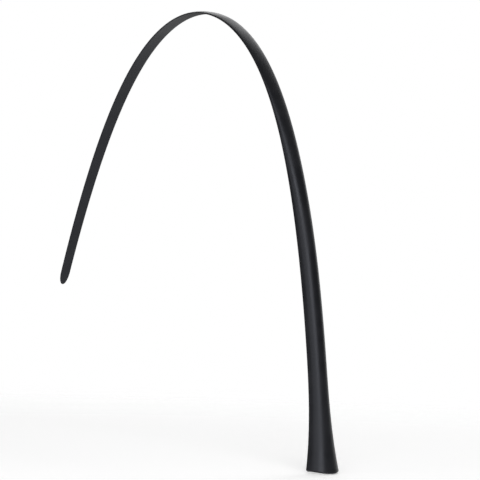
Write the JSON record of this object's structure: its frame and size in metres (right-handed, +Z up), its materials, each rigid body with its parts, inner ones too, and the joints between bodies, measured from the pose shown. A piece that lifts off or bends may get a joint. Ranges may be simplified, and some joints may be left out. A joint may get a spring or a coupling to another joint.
{
  "type": "flexible long-handled shoehorn",
  "caption": "Slender flexible shoehorn bent into an arch: a flared gutter horn, and a springy handle that tapers and flattens to a rounded tip.",
  "frame": {"origin": "middle of the lip, on the line joining the horn's two side edges", "axes": "+Z up, the strip's arch lies in the XZ plane with the horn at the +X end, +Y across the strip's width"},
  "size_m": [0.4247, 0.0282, 0.3769],
  "materials": {
    "skin": "satin soft-touch elastomer, near black",
    "core": "blued spring steel, long grain",
    "stiffener": "natural glass-filled nylon",
    "rivet": "satin",
    "guard": "black nylon"
  },
  "bodies": {
    "horn": {"skin_horn": "skin", "horn_stiffener": "stiffener", "core_foot": "core", "core_rivets": "rivet"},
    "span_01": {"skin_01": "skin", "core_01": "core"},
    "span_02": {"skin_02": "skin", "core_02": "core"},
    "span_03": {"skin_03": "skin", "core_03": "core"},
    "span_04": {"skin_04": "skin", "core_04": "core"},
    "span_05": {"skin_05": "skin", "core_05": "core"},
    "span_06": {"skin_06": "skin", "core_06": "core"},
    "span_07": {"skin_07": "skin", "core_07": "core"},
    "span_08": {"skin_08": "skin", "core_08": "core"},
    "span_09": {"skin_09": "skin", "core_09": "core"},
    "span_10": {"skin_10": "skin", "core_10": "core"},
    "span_11": {"skin_11": "skin", "core_11": "core"},
    "span_12": {"skin_12": "skin", "core_12": "core"},
    "span_13": {"skin_13": "skin", "core_13": "core"},
    "span_14": {"skin_14": "skin", "core_14": "core"},
    "span_15": {"skin_15": "skin", "core_15": "core"},
    "span_16": {"skin_16": "skin", "core_16": "core"},
    "span_17": {"skin_17": "skin", "core_17": "core"},
    "span_18": {"skin_18": "skin", "core_18": "core"},
    "span_19": {"skin_19": "skin", "core_19": "core"},
    "span_20": {"skin_20": "skin", "core_20": "core"},
    "span_21": {"skin_21": "skin", "core_21": "core"},
    "span_22": {"skin_22": "skin", "core_22": "core"},
    "span_23": {"skin_23": "skin", "core_23": "core"},
    "tip": {"skin_tip": "skin", "core_tip": "core", "tip_guard": "guard"}
  },
  "joints": [
    {"name": "flex_01", "type": "hinge", "parent": "horn", "child": "span_01", "pos_m": [-0.04249, 0, 0.23585], "axis": [0, 1, 0], "range_deg": [-1.5, 5.7], "stiffness_Nm_per_rad": 4.94},
    {"name": "flex_02", "type": "hinge", "parent": "span_01", "child": "span_02", "pos_m": [-0.05851, 0, 0.2732], "axis": [0, 1, 0], "range_deg": [-1.5, 5.7], "stiffness_Nm_per_rad": 6.65},
    {"name": "flex_03", "type": "hinge", "parent": "span_02", "child": "span_03", "pos_m": [-0.07262, 0, 0.2987], "axis": [0, 1, 0], "range_deg": [-1.5, 5.7], "stiffness_Nm_per_rad": 8.71},
    {"name": "flex_04", "type": "hinge", "parent": "span_03", "child": "span_04", "pos_m": [-0.08562, 0, 0.31755], "axis": [0, 1, 0], "range_deg": [-1.5, 5.7], "stiffness_Nm_per_rad": 10.58},
    {"name": "flex_05", "type": "hinge", "parent": "span_04", "child": "span_05", "pos_m": [-0.09794, 0, 0.33216], "axis": [0, 1, 0], "range_deg": [-1.5, 5.7], "stiffness_Nm_per_rad": 12.23},
    {"name": "flex_06", "type": "hinge", "parent": "span_05", "child": "span_06", "pos_m": [-0.10985, 0, 0.34379], "axis": [0, 1, 0], "range_deg": [-1.5, 5.7], "stiffness_Nm_per_rad": 13.64},
    {"name": "flex_07", "type": "hinge", "parent": "span_06", "child": "span_07", "pos_m": [-0.12155, 0, 0.35314], "axis": [0, 1, 0], "range_deg": [-1.5, 5.7], "stiffness_Nm_per_rad": 14.8},
    {"name": "flex_08", "type": "hinge", "parent": "span_07", "child": "span_08", "pos_m": [-0.13318, 0, 0.36061], "axis": [0, 1, 0], "range_deg": [-1.5, 5.7], "stiffness_Nm_per_rad": 15.71},
    {"name": "flex_09", "type": "hinge", "parent": "span_08", "child": "span_09", "pos_m": [-0.14478, 0, 0.36648], "axis": [0, 1, 0], "range_deg": [-1.5, 5.7], "stiffness_Nm_per_rad": 16.36},
    {"name": "flex_10", "type": "hinge", "parent": "span_09", "child": "span_10", "pos_m": [-0.15642, 0, 0.37094], "axis": [0, 1, 0], "range_deg": [-1.5, 5.7], "stiffness_Nm_per_rad": 16.77},
    {"name": "flex_11", "type": "hinge", "parent": "span_10", "child": "span_11", "pos_m": [-0.16814, 0, 0.3741], "axis": [0, 1, 0], "range_deg": [-1.5, 5.7], "stiffness_Nm_per_rad": 16.93},
    {"name": "flex_12", "type": "hinge", "parent": "span_11", "child": "span_12", "pos_m": [-0.17997, 0, 0.37601], "axis": [0, 1, 0], "range_deg": [-1.5, 5.7], "stiffness_Nm_per_rad": 16.85},
    {"name": "flex_13", "type": "hinge", "parent": "span_12", "child": "span_13", "pos_m": [-0.19196, 0, 0.37671], "axis": [0, 1, 0], "range_deg": [-1.5, 5.7], "stiffness_Nm_per_rad": 16.53},
    {"name": "flex_14", "type": "hinge", "parent": "span_13", "child": "span_14", "pos_m": [-0.20416, 0, 0.37616], "axis": [0, 1, 0], "range_deg": [-1.5, 5.7], "stiffness_Nm_per_rad": 15.98},
    {"name": "flex_15", "type": "hinge", "parent": "span_14", "child": "span_15", "pos_m": [-0.21662, 0, 0.3743], "axis": [0, 1, 0], "range_deg": [-1.5, 5.7], "stiffness_Nm_per_rad": 15.2},
    {"name": "flex_16", "type": "hinge", "parent": "span_15", "child": "span_16", "pos_m": [-0.22942, 0, 0.37103], "axis": [0, 1, 0], "range_deg": [-1.5, 5.7], "stiffness_Nm_per_rad": 14.2},
    {"name": "flex_17", "type": "hinge", "parent": "span_16", "child": "span_17", "pos_m": [-0.24266, 0, 0.36614], "axis": [0, 1, 0], "range_deg": [-1.5, 5.7], "stiffness_Nm_per_rad": 12.99},
    {"name": "flex_18", "type": "hinge", "parent": "span_17", "child": "span_18", "pos_m": [-0.25648, 0, 0.35936], "axis": [0, 1, 0], "range_deg": [-1.5, 5.7], "stiffness_Nm_per_rad": 11.59},
    {"name": "flex_19", "type": "hinge", "parent": "span_18", "child": "span_19", "pos_m": [-0.2711, 0, 0.35021], "axis": [0, 1, 0], "range_deg": [-1.5, 5.7], "stiffness_Nm_per_rad": 10},
    {"name": "flex_20", "type": "hinge", "parent": "span_19", "child": "span_20", "pos_m": [-0.28688, 0, 0.33792], "axis": [0, 1, 0], "range_deg": [-1.5, 5.7], "stiffness_Nm_per_rad": 8.26},
    {"name": "flex_21", "type": "hinge", "parent": "span_20", "child": "span_21", "pos_m": [-0.30442, 0, 0.32109], "axis": [0, 1, 0], "range_deg": [-1.5, 5.7], "stiffness_Nm_per_rad": 6.41},
    {"name": "flex_22", "type": "hinge", "parent": "span_21", "child": "span_22", "pos_m": [-0.32483, 0, 0.29697], "axis": [0, 1, 0], "range_deg": [-1.5, 5.7], "stiffness_Nm_per_rad": 4.51},
    {"name": "flex_23", "type": "hinge", "parent": "span_22", "child": "span_23", "pos_m": [-0.3505, 0, 0.25936], "axis": [0, 1, 0], "range_deg": [-1.5, 5.7], "stiffness_Nm_per_rad": 2.74},
    {"name": "flex_24", "type": "hinge", "parent": "span_23", "child": "tip", "pos_m": [-0.38647, 0, 0.1927], "axis": [0, 1, 0], "range_deg": [-1.5, 5.7], "stiffness_Nm_per_rad": 1.61}
  ]
}
